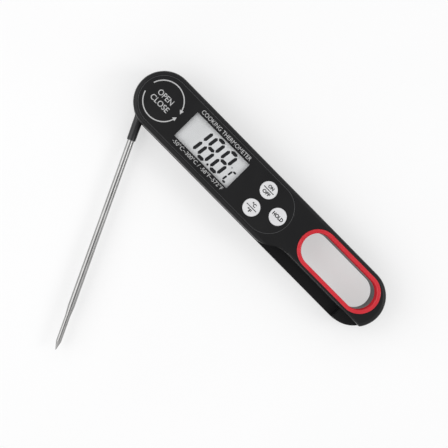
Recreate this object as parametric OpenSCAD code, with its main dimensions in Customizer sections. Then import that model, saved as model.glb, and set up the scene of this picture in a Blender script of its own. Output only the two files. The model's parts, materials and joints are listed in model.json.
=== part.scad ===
// Folding instant-read meat thermometer.
// Origin: on the hinge axis, in the plane of the flat rear face.
// +X runs along the handle to the hanging hole and +Z comes out of the display.
// The probe opens on the -Y side.

/* [Body] */
// Overall length of the handle
body_l = 166; // [138:0.5:200]
// Width of the handle
body_w = 30.6; // [30:0.2:37]
// Thickness of the handle
body_t = 19; // [19:0.5:24]
// Side wall of both shells
wall = 1.6; // [1.2:0.1:2]
// Front plate under the label
plate_t = 1.7; // [1.4:0.1:2.2]
// Rounding of the front edge
front_r = 2.2; // [1:0.1:2.4]
// Rounding of the rear edge
rear_r = 1.6; // [0.8:0.1:2]
// Rear lip that closes the probe channel
lip_t = 3.2; // [2.6:0.1:4]
// Wall between the probe channel and the dry compartment, above the channel
ceiling_t = 1.4; // [1.2:0.1:2]

/* [Probe] */
// Outer diameter of the tube
probe_d = 3.5; // [3:0.1:4.2]
// Wall of the tube
probe_wall = 0.3; // [0.2:0.05:0.4]
// Outer diameter of the slim end
tip_d = 2.7; // [2.2:0.1:2.8]
// Length of the slim end, with its point
tip_l = 18; // [12:1:25]
// Length of the ground point
point_l = 4.5; // [3:0.5:6]
// How far the folded point stops short of the centre of the round tail
probe_short = 1.1; // [0:0.1:20]
// Distance of the tube's axis from the hinge axis
probe_offset = 9.3; // [8.8:0.1:9.5]
// Wall of the sleeve where it leaves the hub
sleeve_wall = 0.65; // [0.5:0.05:0.75]
// From the hinge axis to the outer end of the sleeve
sleeve_end = 23; // [18:0.2:28]
// How far the probe is opened at rest, in degrees from folded
open_angle = 64.5; // [0:0.5:180]

/* [Hinge] */
// Radius of the hub disc
hub_r = 11.4; // [11:0.1:12]
// How much thicker the hub disc is than the sleeve
hub_margin = 0.4; // [0.2:0.1:0.6]
// Radius of the hub's neck in its bearing
neck_r = 4; // [3.5:0.1:4.5]
// Radius of the hub's stub in the hinge cover
stub_r = 3; // [2:0.1:4]
// Radial running clearance of both bearings
run_gap = 0.05; // [0.02:0.01:0.1]

/* [Display and buttons] */
// Length of the display window
window_l = 36.5; // [30:0.1:44]
// Width of the display window
window_w = 16.4; // [13:0.1:17]
// From the hinge axis to the near edge of the window
window_x = 15.2; // [14:0.1:18]
// Radius of a button
button_r = 4.5; // [3.7:0.1:5.4]
// How far a button stands above the label
button_rise = 0.4; // [0.2:0.1:0.8]
// Travel of a button
button_travel = 0.4; // [0.2:0.1:0.5]
// Gap from the window to the two side-by-side buttons
keys_gap = 11; // [9:0.1:14]
// Gap between those two buttons
pair_gap = 3.1; // [2:0.1:4]
// From the centres of those two to the single button's centre, along the handle
key_pitch = 12.5; // [12:0.1:16]
// Gap between the label's edge and the shell's outline
label_inset = 2.4; // [2.3:0.1:4]
// Gap from the single button to the label's round end
label_margin = 2; // [1.5:0.1:4]
// Thickness of the label
label_t = 0.3; // [0.2:0.05:0.4]

/* [Hanging hole] */
// Radius of the hole's round ends
hole_r = 8.55; // [6:0.05:8.6]
// Distance of the hole from the centre line, away from the probe
hole_y = 2.55; // [2.4:0.05:3.2]
// Gap from the label's round end to the trim
trim_start = 8.9; // [8:0.1:14]
// Gap from the trim to the tail
trim_end = 4.75; // [4:0.05:8]
// Width of the trim's rim
trim_rim = 2.1; // [1.6:0.05:2.4]
// How far the trim stands above the front face
trim_rise = 0.45; // [0.2:0.05:0.8]
// Depth of the trim's liner inside the hole
trim_depth = 7; // [2:0.1:7]

/* [Battery] */
// Diameter of the cell
cell_d = 10.5; // [9.5:0.1:10.5]
// Length of the cell
cell_l = 44.5; // [40:0.1:44.5]
// Distance of the cell from the centre line, away from the probe
cell_y = 2.6; // [2.2:0.1:3]

/* [Hidden] */
$fn = 64;
eps = 0.01;                 // overlap that makes a cut run cleanly through a face
far = 400;                  // longer than the part, for half-planes

// Places along the handle
body_r = body_w / 2;
tail_x = body_l - body_w;   // centre of the round tail
cavity_r = body_r - wall;
probe_reach = tail_x - probe_short;
sleeve_d = probe_d + 2 * sleeve_wall;
hub_t = sleeve_d + hub_margin;
pair_x = window_x + window_l + keys_gap + button_r;
pair_y = button_r + pair_gap / 2;
single_x = pair_x + key_pitch;
buttons = [[pair_x, pair_y], [pair_x, -pair_y], [single_x, 0]];
label_r = body_r - label_inset;
label_x = single_x + button_r + label_margin - label_r;     // centre of the label's round end
trim_r = hole_r + trim_rim;
hole_x0 = label_x + label_r + trim_start + trim_r;          // centres of the hole's round ends
hole_x1 = tail_x + body_r - trim_end - trim_r;

// Levels, from the rear face up
channel_gap = 0.1;          // play above and below the hub
channel_h = hub_t + 2 * channel_gap;
channel_top = lip_t + channel_h;
probe_z = lip_t + channel_h / 2;
split_z = channel_top + ceiling_t;     // where the two shells meet
plate_z = body_t - plate_t;
label_gap = 0.05;           // the label lies this far under the front face
label_play = 0.1;           // round the label's edge
label_chamfer = 0.15;
label_seat_z = body_t - label_t - label_gap;

// Channel
channel_play = 0.35;
channel_y = -probe_offset + probe_d / 2 + channel_play;
sleeve_channel_y = -probe_offset + sleeve_d / 2 + channel_play;
channel_wall = 1.4;
hub_room = hub_r + 0.3;
stop_y = probe_offset + sleeve_d / 2 + 0.2;     // the wall that the opened probe stops against
scoop_y = -9.3;             // edge of the finger scoop
scoop_lead = 6.9;           // the scoop starts this far before the label's round end
scoop_x = label_x + label_r - scoop_lead;
scoop_r = 13;               // radius of both arcs of the scoop's S-curve
scoop_turn = acos(1 - (body_r + scoop_y) / (2 * scoop_r));
scoop_top_x = scoop_x + 2 * scoop_r * sin(scoop_turn);
scoop_edge_r = 1;           // rounding along the scoop's top edge
seam_gap = 0.25;            // width and depth of the groove between the shells
channel_end = probe_reach + 1.2;    // solid tail guard beyond the folded point

// Hinge
cover_screw_x = hub_room + 3.6;
cover_x = cover_screw_x + 3.2;  // seam of the hinge cover
cover_gap = 0.08;
collar_r = neck_r + 2.4;
collar_top = split_z + 2.5;
neck_top = collar_top + 1.7;
washer_t = 0.5;
clip_t = 0.6;
clip_seat_z = collar_top + washer_t + 0.05;
ring_wire = 0.42;           // radius of an O-ring's cord
ring_groove = 3.15;         // radius of the bottom of an O-ring groove
ring_z = [split_z - 0.35, collar_top - 1.05];
lead_r = 0.3;                // insulated lead
lead_gap = 0.36;            // from the pair's middle to each lead
lead_bore = 1.3;
lead_way = 0.75;            // half height of the channel that the leads run in
lead_bend = 1.2;

// Display stack
board_t = 1;
board_z = body_t - 5.8;
board_top = board_z + board_t;
board_x = 11.4;
tongue_x = 7.4;             // the board's tongue takes the leads from the hinge
tongue_w = 9;
board_w = 2 * (cavity_r - 1.7);
board_end_r = board_w / 2 - 0.2;
lcd_l = window_l + 4;
lcd_w = window_w + 3.6;
lcd_t = 1.6;
lcd_x = window_x + window_l / 2;
lcd_z = plate_z - 0.1 - lcd_t;
backlight_w = 17.4;
frame_wall = 1.2;
lens_gap = 0.05;

// Buttons
button_gap = 0.15;
flange_r = button_r + 0.75;
flange_t = 0.6;
flange_z = plate_z - 0.05 - flange_t;
mat_t = 0.4;
mat_z = board_top + 1.3;
stem_r = 0.9;
stem_gap = 0.06;
switch_floor = 0.1;         // under the stem's hole in the switch
switch_t = 1.15;
stem_z = board_top + switch_floor + button_travel + 0.05;
dome_r = 2.6;
dome_pad = 1.5;

// Screws
waist_x = label_x + label_r + 7.6;      // the case screws between the label and the hole
case_screws_xy = [[7.5, body_r - 4], [waist_x, -2.6], [waist_x, body_r - 4.3], [tail_x + 10.3, -4.9]];
hinge_screws_xy = [[cover_screw_x, 6.5], [cover_screw_x, -1.5]];
board_screw_x = lcd_x + lcd_l / 2 + frame_wall + 2.5;
board_screws_xy = [for (side = [1, -1]) each [[board_screw_x, side * (board_w / 2 - 2.2)],
    [label_x + 9.4 * cos(62), side * 9.4 * sin(62)]]];
screw_r = 0.8;
head_r = 1.45;
head_t = 1;
head_sink = 0.15;           // heads lie this far inside the rear face
post_r = 1.5;
case_screw_top = 14.6;
hinge_screw_top = 8.6;

// Battery
floor_t = 1.8;
cell_z = floor_t + 0.45 + cell_d / 2;
cell_end = label_x + cavity_r - 2.8;    // tip of the cell's positive nub
cell_x = cell_end - cell_l;
nub_l = 0.8;
chip_t = 0.9;
contact_z = [floor_t + 1.2, board_z - chip_t - 0.2];    // both contact plates stay under the chip
rear_cavity_x = cover_screw_x + 2.3;
hatch_x = [cell_x - 6.7, cell_end - 0.2];
hatch_y = [cell_y - cell_d / 2 - 1.25, cell_y + cell_d / 2 + 1.25];
door_x = [hatch_x[0] - 3, hatch_x[1] + 3];
door_y = [hatch_y[0] - 1.5, hatch_y[1] + 1.5];
door_t = 0.95;
door_seat = 1;
door_gap = 0.15;
grip_pitch = 1.5;           // the door's thumb grip is a row of fine grooves
grip_count = 7;
grip_w = 8.8;
grip_depth = 0.3;
grip_x = door_x[1] - grip_count * grip_pitch - 6;
gasket_w = 0.7;
lock_x = cell_x - 1.9;
lock_r = 3.6;
lock_head_t = 0.7;
lock_stem_r = 1.5;
lock_cam_l = 6.3;
lock_cam_w = 3.2;
cam_t = 0.9;
cam_z = floor_t + 0.12;
magnet_wall = 1.9;          // floor left beside the magnet
magnet_r = min(4.8, (door_x[0] - rear_cavity_x - magnet_wall - 0.9) / 2);
magnet_xy = [rear_cavity_x + magnet_wall + magnet_r, 3.6];
magnet_t = 2;
magnet_z = 0.8;

// ---- shared shapes ----

// A stadium along X, from the centre of one round end to the other's
module stadium(x0, x1, r, y = 0) {
    translate([x0, y]) circle(r);
    translate([x1, y]) circle(r);
    translate([x0, y - r]) square([x1 - x0, 2 * r]);
}

// Sweeps a half profile, drawn as [radius, height], round a stadium
module round_stadium(x0, x1, y = 0) {
    translate([x0, y, 0]) rotate([0, 0, 90]) rotate_extrude(angle = 180) children();
    translate([x1, y, 0]) rotate([0, 0, -90]) rotate_extrude(angle = 180) children();
    translate([x0, y, 0]) rotate([90, 0, 90]) linear_extrude(x1 - x0) {
        children();
        mirror([1, 0]) children();
    }
}

module block(x, y, z) {
    translate([x[0], y[0], z[0]]) cube([x[1] - x[0], y[1] - y[0], z[1] - z[0]]);
}

module rounded_slab(x, y, z, r) {
    translate([0, 0, z[0]]) linear_extrude(z[1] - z[0]) {
        translate([x[0] + r, y[0]]) square([x[1] - x[0] - 2 * r, y[1] - y[0]]);
        translate([x[0], y[0] + r]) square([x[1] - x[0], y[1] - y[0] - 2 * r]);
        for (cx = [x[0] + r, x[1] - r], cy = [y[0] + r, y[1] - r]) translate([cx, cy]) circle(r);
    }
}

module rod(r, z0, z1) {
    translate([0, 0, z0]) cylinder(r = r, h = z1 - z0);
}

// A cylinder along X
module rod_x(r, x0, x1) {
    translate([x0, 0, 0]) rotate([0, 90, 0]) cylinder(r = r, h = x1 - x0);
}

// The probe's own frame: its tube lies along X, and the whole is turned open about the hinge
module at_probe() {
    rotate([0, 0, -open_angle]) translate([0, -probe_offset, probe_z]) children();
}

// ---- housing ----

// Half profile of the rear shell's outside, from its rounded rear edge to the split
module rear_profile(top) {
    square([body_r - rear_r, top]);
    translate([0, rear_r]) square([body_r, top - rear_r]);
    translate([body_r - rear_r, rear_r]) circle(rear_r);
}

// Half profile of the front shell's outside, set back at its foot so that the seam is a fine groove
module front_profile() {
    translate([0, split_z]) square([body_r - front_r, body_t - split_z]);
    translate([0, split_z]) square([body_r - seam_gap, body_t - split_z - front_r]);
    translate([0, split_z + seam_gap]) square([body_r, body_t - split_z - front_r - seam_gap]);
    translate([body_r - front_r, body_t - front_r]) circle(front_r);
}

// Everything beside the handle that the finger scoop takes away, with an S-curve at its near end
module scoop(y) {
    joint = [scoop_x + scoop_r * sin(scoop_turn), -body_r + scoop_r * (1 - cos(scoop_turn))];
    difference() {
        union() {
            polygon([[scoop_x, -body_r - 5], [scoop_x, -body_r], joint, [scoop_top_x, y], [far, y],
                [far, -body_r - 5]]);
            translate([scoop_top_x, y - scoop_r]) circle(scoop_r);
        }
        translate([scoop_x, scoop_r - body_r]) circle(scoop_r);
    }
}

// The cut that holds the folded probe and lets the hub and the sleeve swing
module channel_cut() {
    circle(hub_room);
    translate([0, -far]) square([channel_end, far + channel_y]);
    translate([0, -far]) square([sleeve_end + 3, far + sleeve_channel_y]);
    translate([-far, -far]) square([far, far + stop_y]);
}

// The dry compartment in the rear shell, beside the channel
module rear_cavity() {
    intersection() {
        stadium(0, label_x, cavity_r);
        union() {
            translate([rear_cavity_x, sleeve_channel_y + channel_wall]) square([far, far]);
            translate([sleeve_end + 4, channel_y + channel_wall]) square([far, far]);
        }
    }
}

module label_chamfer_profile() {
    edge = label_r + label_play;
    polygon([[label_r, body_t - label_chamfer], [edge, body_t - label_chamfer],
        [edge + 2 * label_chamfer, body_t + label_chamfer], [label_r, body_t + label_chamfer]]);
}

module front_shell() {
    color([0.09, 0.09, 0.1]) difference() {
        round_stadium(0, tail_x) front_profile();
        translate([0, 0, split_z - eps]) linear_extrude(plate_z - split_z + eps) difference() {
            stadium(0, label_x, cavity_r);
            for (p = board_screws_xy) translate(p) circle(post_r);
            translate(case_screws_xy[0]) circle(post_r + 0.5);
        }
        // posts end on the board
        for (p = board_screws_xy) translate(p) rod(post_r + eps, split_z - eps, board_top);
        for (p = board_screws_xy) translate(p) rod(screw_r, split_z, board_top + 2.4);
        for (p = case_screws_xy) translate(p) rod(screw_r, split_z - eps, case_screw_top + 0.3);
        // seat of the label, with a narrow chamfer round its edge
        translate([0, 0, label_seat_z]) linear_extrude(1) stadium(0, label_x, label_r + label_play);
        round_stadium(0, label_x) label_chamfer_profile();
        block([window_x, window_x + window_l], [-window_w / 2, window_w / 2], [plate_z - 1, body_t + 1]);
        for (p = buttons) translate(p) rod(button_r + button_gap, plate_z - 1, body_t + 1);
        // finger scoop, with a rounded top edge
        translate([0, 0, split_z - 1]) linear_extrude(body_t) scoop(scoop_y);
        scoop_edge();
        hole_cut(hole_r, split_z - 1);
        hole_cut(hole_r + 1 + 0.05, body_t - trim_depth);
        hole_cut(trim_r + 0.05, body_t - 0.3);
    }
}

// The strip that rounds the straight top edge of the scoop
module scoop_edge() {
    difference() {
        block([scoop_top_x, far], [scoop_y - 1, scoop_y + scoop_edge_r],
            [body_t - scoop_edge_r, body_t + 1]);
        translate([0, scoop_y + scoop_edge_r, body_t - scoop_edge_r])
            rod_x(scoop_edge_r, scoop_top_x - 1, far + 1);
    }
}

module hole_cut(r, z) {
    translate([0, 0, z]) linear_extrude(body_t + 2) stadium(hole_x0, hole_x1, r, hole_y);
}

module rear_shell() {
    color([0.08, 0.08, 0.09]) difference() {
        union() {
            round_stadium(0, tail_x) rear_profile(split_z);
            rod(collar_r, channel_top, collar_top);
        }
        // the hinge cover takes the place of the head's floor
        block([-far, cover_x], [-far, far], [-1, lip_t]);
        translate([0, 0, lip_t]) linear_extrude(channel_h) channel_cut();
        difference() {
            translate([0, 0, floor_t]) linear_extrude(body_t) difference() {
                rear_cavity();
                // walls beside the cell
                translate([hatch_x[0], hatch_y[1] + 0.1]) square([hatch_x[1] - hatch_x[0] - 3, 1]);
            }
            translate([magnet_xy[0], magnet_xy[1], 0]) rod(magnet_r + 0.9, 0, magnet_z + magnet_t);
        }
        translate([magnet_xy[0], magnet_xy[1], 0]) rod(magnet_r, magnet_z, magnet_z + magnet_t + 1);
        rod(neck_r + run_gap, channel_top - 1, collar_top + 1);
        // finger scoop, as far as the tail guard
        translate([0, 0, lip_t]) linear_extrude(body_t) intersection() {
            scoop(scoop_y);
            translate([0, -far]) square([channel_end, far]);
        }
        hole_cut(hole_r, -1);
        // groove for the case gasket
        translate([0, 0, split_z - 0.5]) linear_extrude(1) gasket_ring();
        // seat and hatch of the battery door
        rounded_slab(door_x, door_y, [-1, door_seat], 2.5);
        rounded_slab(hatch_x, hatch_y, [-1, floor_t + 1], 1.5);
        for (p = case_screws_xy) translate(p) {
            rod(screw_r + 0.15, -1, split_z + 1);
            rod(head_r + 0.15, -1, head_sink + head_t);
        }
        for (p = hinge_screws_xy) translate(p) rod(screw_r, lip_t - 1, hinge_screw_top + 0.2);
    }
}

module hinge_cover() {
    color([0.08, 0.08, 0.09]) difference() {
        intersection() {
            round_stadium(0, tail_x) rear_profile(lip_t);
            block([-far, cover_x - cover_gap], [-far, far], [-1, body_t]);
        }
        rod(stub_r + run_gap, 1.2, lip_t + 1);
        for (p = concat(hinge_screws_xy, [case_screws_xy[0]])) translate(p) {
            rod(screw_r + 0.15, -1, lip_t + 1);
            rod(head_r + 0.15, -1, head_sink + head_t);
        }
    }
}

module gasket_ring() {
    middle = cavity_r + wall / 2;
    difference() {
        stadium(0, label_x, middle + 0.35);
        stadium(0, label_x, middle - 0.35);
    }
}

module case_gasket() {
    color([0.35, 0.35, 0.37]) translate([0, 0, split_z - 0.5]) linear_extrude(0.5) gasket_ring();
}

module face_label() {
    color([0.05, 0.05, 0.055]) translate([0, 0, label_seat_z]) linear_extrude(label_t) difference() {
        stadium(0, label_x, label_r);
        translate([window_x, -window_w / 2]) square([window_l, window_w]);
        for (p = buttons) translate(p) circle(button_r + button_gap);
    }
}

module window_lens() {
    color([0.85, 0.88, 0.9, 0.3])
        block([window_x + lens_gap, window_x + window_l - lens_gap],
            [lens_gap - window_w / 2, window_w / 2 - lens_gap], [plate_z, label_seat_z + label_t]);
}

// Half profile of the trim: a liner in the hole and a round rim on the front face
module trim_profile() {
    rim_z = body_t + trim_rise;
    round_r = trim_rise + 0.25;
    translate([hole_r, body_t - trim_depth]) square([1, trim_depth]);
    translate([hole_r + round_r, body_t - 0.25]) square([trim_rim - 2 * round_r, rim_z - body_t + 0.25]);
    intersection() {
        union() {
            translate([hole_r + round_r, rim_z - round_r]) circle(round_r);
            translate([hole_r + trim_rim - round_r, rim_z - round_r]) circle(round_r);
        }
        translate([0, body_t - 0.25]) square([hole_r + trim_rim, 2]);
    }
}

module ring_trim() {
    color([0.85, 0.08, 0.1]) round_stadium(hole_x0, hole_x1, hole_y) trim_profile();
}

// ---- display and board ----

module lcd_panel() {
    color([0.75, 0.76, 0.76])
        block([lcd_x - lcd_l / 2, lcd_x + lcd_l / 2], [-lcd_w / 2, lcd_w / 2], [lcd_z, lcd_z + lcd_t]);
}

module lcd_backlight() {
    color([0.95, 0.95, 0.93])
        block([lcd_x - lcd_l / 2 + 1, lcd_x + lcd_l / 2 - 1], [-backlight_w / 2, backlight_w / 2],
            [board_top, lcd_z]);
}

module lcd_frame() {
    color([0.9, 0.9, 0.88]) difference() {
        block([lcd_x - lcd_l / 2 - frame_wall, lcd_x + lcd_l / 2 + frame_wall],
            [-lcd_w / 2 - frame_wall, lcd_w / 2 + frame_wall], [board_top, lcd_z + lcd_t]);
        block([lcd_x - lcd_l / 2 - 0.1, lcd_x + lcd_l / 2 + 0.1],
            [-lcd_w / 2 - 0.1, lcd_w / 2 + 0.1], [board_top - 1, body_t]);
    }
}

module zebra_strips() {
    color([0.6, 0.35, 0.45]) for (y = [-1, 1])
        block([lcd_x - 17, lcd_x + 17], [y * 9.35 - 0.45, y * 9.35 + 0.45], [board_top, lcd_z]);
}

module circuit_board() {
    color([0.1, 0.35, 0.18]) translate([0, 0, board_z]) linear_extrude(board_t) difference() {
        union() {
            translate([board_x, -board_w / 2]) square([label_x - board_x, board_w]);
            translate([label_x, 0]) circle(board_end_r);
            translate([tongue_x, -tongue_w / 2]) square([board_x - tongue_x + 1, tongue_w]);
        }
        for (p = board_screws_xy) translate(p) circle(screw_r + 0.15);
    }
}

module board_chip() {
    color([0.06, 0.06, 0.06]) block([26, 33], [-3.5, 3.5], [board_z - chip_t, board_z]);
}

module board_parts() {
    color([0.7, 0.6, 0.45]) {
        for (x = [15, 18, 21], y = [-6, -3, 6]) block([x, x + 1.6], [y, y + 0.8], [board_z - 0.7, board_z]);
        block([14, 21], [-0.4, 2.2], [board_z - 1.4, board_z]);
    }
}

module button_switches() {
    color([0.75, 0.75, 0.77]) for (p = buttons) translate(p) difference() {
        translate([-1.9, -1.9, board_top]) cube([3.8, 3.8, switch_t]);
        rod(stem_r + stem_gap, board_top + switch_floor, board_top + switch_t + 1);
    }
}

// Silicone sheet between the plate and the board, open round each dome and each post
module keypad_mat() {
    color([0.3, 0.3, 0.32]) translate([0, 0, mat_z]) linear_extrude(mat_t) difference() {
        intersection() {
            translate([lcd_x + lcd_l / 2 + frame_wall + 0.4, -board_w / 2 - 1]) square([60, board_w + 2]);
            stadium(0, label_x, cavity_r - 0.2);
        }
        for (p = buttons) translate(p) circle(dome_r);
        for (p = board_screws_xy) translate(p) circle(post_r + 0.15);
    }
}

// A dome of the mat: it carries the key, seals its hole and presses the switch
module dome(p) {
    color([0.3, 0.3, 0.32]) translate([p[0], p[1], 0]) rotate_extrude() {
        polygon([[dome_r - 0.4, mat_z], [dome_r, mat_z], [dome_r, mat_z + mat_t], [dome_pad, flange_z],
            [0, flange_z], [0, flange_z - 0.5], [dome_pad - 0.3, flange_z - 0.5]]);
    }
}

// ---- buttons ----

module button(p) {
    top = body_t + button_rise;
    chamfer = 0.25;
    color([0.86, 0.86, 0.87]) translate([p[0], p[1], 0]) rotate_extrude()
        polygon([[0, flange_z], [flange_r, flange_z], [flange_r, flange_z + flange_t],
            [button_r, flange_z + flange_t], [button_r, top - chamfer], [button_r - chamfer, top],
            [0, top]]);
}

module stem(p) {
    color([0.12, 0.12, 0.12]) translate([p[0], p[1], 0]) rod(stem_r, stem_z, flange_z - 0.5);
}

// ---- battery ----

module battery_cell() {
    color([0.75, 0.6, 0.15]) translate([0, cell_y, cell_z]) {
        rod_x(cell_d / 2, cell_x, cell_end - nub_l);
        rod_x(1.9, cell_end - nub_l, cell_end);
    }
}

// Points of a round wire that follows a conical coil
coil_turns = 4;
coil_steps = 64;
wire_sides = 8;
wire_r = 0.3;
coil_x0 = cell_x - 4.3;
coil_x1 = cell_x - wire_r;
function coil_at(i) =
    let (t = i / coil_steps, a = 360 * coil_turns * t, r = 4 - 1.6 * t)
    [coil_x0 + (coil_x1 - coil_x0) * t, r * cos(a), r * sin(a)];
function coil_point(i, k) =
    let (t = i / coil_steps, a = 360 * coil_turns * t, b = 360 * k / wire_sides, c = coil_at(i))
    [c[0] + wire_r * sin(b), c[1] + wire_r * cos(b) * cos(a), c[2] + wire_r * cos(b) * sin(a)];

module coil() {
    points = [for (i = [0:coil_steps], k = [0:wire_sides - 1]) coil_point(i, k)];
    last = coil_steps * wire_sides;
    sides = [for (i = [0:coil_steps - 1], k = [0:wire_sides - 1])
        let (a = i * wire_sides + k, b = i * wire_sides + (k + 1) % wire_sides)
        each [[a, b, b + wire_sides], [a, b + wire_sides, a + wire_sides]]];
    ends = [for (k = [1:wire_sides - 2]) each [[0, k + 1, k], [last, last + k, last + k + 1]]];
    polyhedron(points, concat(sides, ends));
}

module battery_spring() {
    color([0.8, 0.8, 0.8]) {
        translate([0, cell_y, cell_z]) coil();
        block([coil_x0 - 0.8, coil_x0 - 0.2], [cell_y - 4.6, cell_y + 4.6], contact_z);
    }
}

module battery_plate() {
    color([0.8, 0.8, 0.8]) block([cell_end, cell_end + 0.3], [cell_y - 4.2, cell_y + 4.2], contact_z);
}

module battery_door() {
    g = door_gap;
    color([0.08, 0.08, 0.09]) difference() {
        union() {
            rounded_slab([door_x[0] + g, door_x[1] - g], [door_y[0] + g, door_y[1] - g], [0, door_t],
                2.5 - g);
            rounded_slab([hatch_x[0] + gasket_w, hatch_x[1] - gasket_w],
                [hatch_y[0] + gasket_w, hatch_y[1] - gasket_w], [door_t - eps, floor_t], 1);
            // tongues that hook behind the floor
            for (y = [-3, 3]) {
                tongue_y = [cell_y + y - 1, cell_y + y + 1];
                block([hatch_x[1] - 3, hatch_x[1] + 1], tongue_y, [cam_z, cam_z + 0.7]);
                block([hatch_x[1] - 3, hatch_x[1] - gasket_w - 0.2], tongue_y, [floor_t - eps, cam_z + 0.7]);
            }
        }
        translate([lock_x, cell_y, 0]) {
            rod(lock_r + 0.1, -1, 0.2 + lock_head_t);
            rod(lock_stem_r + run_gap, -1, floor_t + 1);
        }
        for (i = [0:grip_count - 1])
            block([grip_x + i * grip_pitch, grip_x + (i + 0.5) * grip_pitch],
                [cell_y - grip_w / 2, cell_y + grip_w / 2], [-1, grip_depth]);
    }
}

module door_gasket() {
    color([0.55, 0.2, 0.15]) difference() {
        rounded_slab(hatch_x, hatch_y, [door_seat, floor_t - 0.1], 1.5);
        rounded_slab([hatch_x[0] + gasket_w, hatch_x[1] - gasket_w],
            [hatch_y[0] + gasket_w, hatch_y[1] - gasket_w], [0, body_t], 1);
    }
}

// Quarter-turn lock: a head with a coin slot, a stem through the door and a cam that hooks behind the floor
module door_lock() {
    color([0.15, 0.15, 0.16]) translate([lock_x, cell_y, 0]) difference() {
        union() {
            rod(lock_r, 0.15, 0.15 + lock_head_t);
            rod(lock_stem_r, 0.15, cam_z + cam_t);
            translate([-lock_cam_l, -lock_cam_w / 2, cam_z]) cube([lock_cam_l, lock_cam_w, cam_t]);
        }
        translate([-2.8, -0.7, -1]) cube([5.6, 1.4, 1.55]);
    }
}

module rear_magnet() {
    color([0.75, 0.76, 0.78]) translate([magnet_xy[0], magnet_xy[1], 0])
        rod(magnet_r, magnet_z, magnet_z + magnet_t);
}

// ---- screws and wires ----

// A pan screw: head at the bottom with a cross recess, shank upwards
module screw(z0, z1) {
    difference() {
        union() {
            rod(head_r, z0, z0 + head_t);
            rod(screw_r, z0, z1);
        }
        for (a = [0, 90]) rotate([0, 0, a]) translate([-0.8, -0.18, z0 - 1]) cube([1.6, 0.36, 1.5]);
    }
}

module case_screws() {
    color([0.6, 0.6, 0.62]) for (p = case_screws_xy) translate(p) screw(head_sink, case_screw_top);
}

module hinge_screws() {
    color([0.6, 0.6, 0.62]) for (p = hinge_screws_xy) translate(p) screw(head_sink, hinge_screw_top);
}

module board_screws() {
    color([0.6, 0.6, 0.62]) for (p = board_screws_xy) translate(p) screw(board_z - head_t, board_top + 2.2);
}

// A quarter bend of one lead, from straight up at the origin to straight along X
module quarter_bend() {
    translate([lead_bend, 0, 0]) rotate([90, 0, 0]) rotate([0, 0, 90]) rotate_extrude(angle = 90)
        translate([lead_bend, 0]) circle(lead_r);
}

// Lead pair that arches from the top of the hinge down to the board's tongue
module sensor_tail() {
    rise = neck_top + 0.3;
    foot_x = tongue_x + 1;
    color([0.75, 0.1, 0.1]) for (y = [-0.5, 0.5]) translate([0, y, 0]) {
        translate([0, 0, rise]) quarter_bend();
        translate([0, 0, rise + lead_bend]) rod_x(lead_r, lead_bend, foot_x - lead_bend);
        translate([foot_x, 0, rise]) mirror([1, 0, 0]) quarter_bend();
        translate([foot_x, 0, 0]) rod(lead_r, board_top, rise);
    }
}

// ---- probe ----

module probe_hub() {
    inner_end = -2;
    color([0.1, 0.1, 0.11]) difference() {
        union() {
            rotate([0, 0, -open_angle]) {
                rod(hub_r, lip_t + channel_gap, channel_top - channel_gap);
                rod(neck_r, channel_top - 1, neck_top);
                rod(stub_r, 1.35, lip_t + 1);
            }
            at_probe() block([0, 10.5], [-sleeve_d / 2, sleeve_d / 2], [-sleeve_d / 2, sleeve_d / 2]);
        }
        at_probe() rod_x(probe_d / 2, inner_end, 12);
        // lead way: from the tube's inner end to the axis, then up through the neck
        rotate([0, 0, -open_angle]) {
            way_z = [probe_z - lead_way, probe_z + lead_way];
            block([inner_end - 1.2, inner_end + 1.2], [-probe_offset - lead_way, 0], way_z);
            block([inner_end - 1.2, 0], [-0.8, 0.8], way_z);
            rod(lead_bore, probe_z - lead_way, neck_top + 1);
        }
        for (z = ring_z) rotate_extrude() translate([ring_groove, z - 0.5]) square([2, 1]);
        rotate_extrude() translate([neck_r - 0.6, clip_seat_z]) square([2, clip_t + 0.05]);
    }
}

module probe_sleeve() {
    start = 10.5;
    color([0.1, 0.1, 0.11]) at_probe() difference() {
        union() {
            translate([start, 0, 0]) rotate([0, 90, 0])
                cylinder(r1 = sleeve_d / 2, r2 = sleeve_d / 2 - 0.15, h = sleeve_end - start - 0.3);
            translate([sleeve_end - 0.3, 0, 0]) rotate([0, 90, 0])
                cylinder(r1 = sleeve_d / 2 - 0.15, r2 = sleeve_d / 2 - 0.45, h = 0.3);
        }
        rod_x(probe_d / 2, start - 1, sleeve_end + 1);
    }
}

module probe_tube() {
    step = probe_reach - tip_l;
    taper = 5;
    bore = probe_d / 2 - probe_wall;
    color([0.8, 0.8, 0.81]) at_probe() difference() {
        rotate([0, 90, 0]) rotate_extrude()
            polygon([[0, -2], [probe_d / 2, -2], [probe_d / 2, step - taper], [tip_d / 2, step],
                [tip_d / 2, probe_reach - point_l], [0, probe_reach - point_l]]);
        rod_x(bore, -3, step - taper - 0.5);
        rod_x(tip_d / 2 - probe_wall, step - taper - 1, probe_reach);
    }
}

// Solid ground point, welded into the end of the tube
module probe_point() {
    color([0.8, 0.8, 0.81]) at_probe() rotate([0, 90, 0]) rotate_extrude()
        polygon([[0, probe_reach - point_l - 1.5], [tip_d / 2 - probe_wall, probe_reach - point_l - 1.5],
            [tip_d / 2 - probe_wall, probe_reach - point_l], [tip_d / 2, probe_reach - point_l],
            [0.15, probe_reach], [0, probe_reach]]);
}

module thermistor() {
    color([0.15, 0.15, 0.15]) at_probe() {
        translate([probe_reach - point_l - 3.2, 0, 0]) sphere(0.8);
        rod_x(0.55, probe_reach - point_l - 6, probe_reach - point_l - 3);
    }
}

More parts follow.
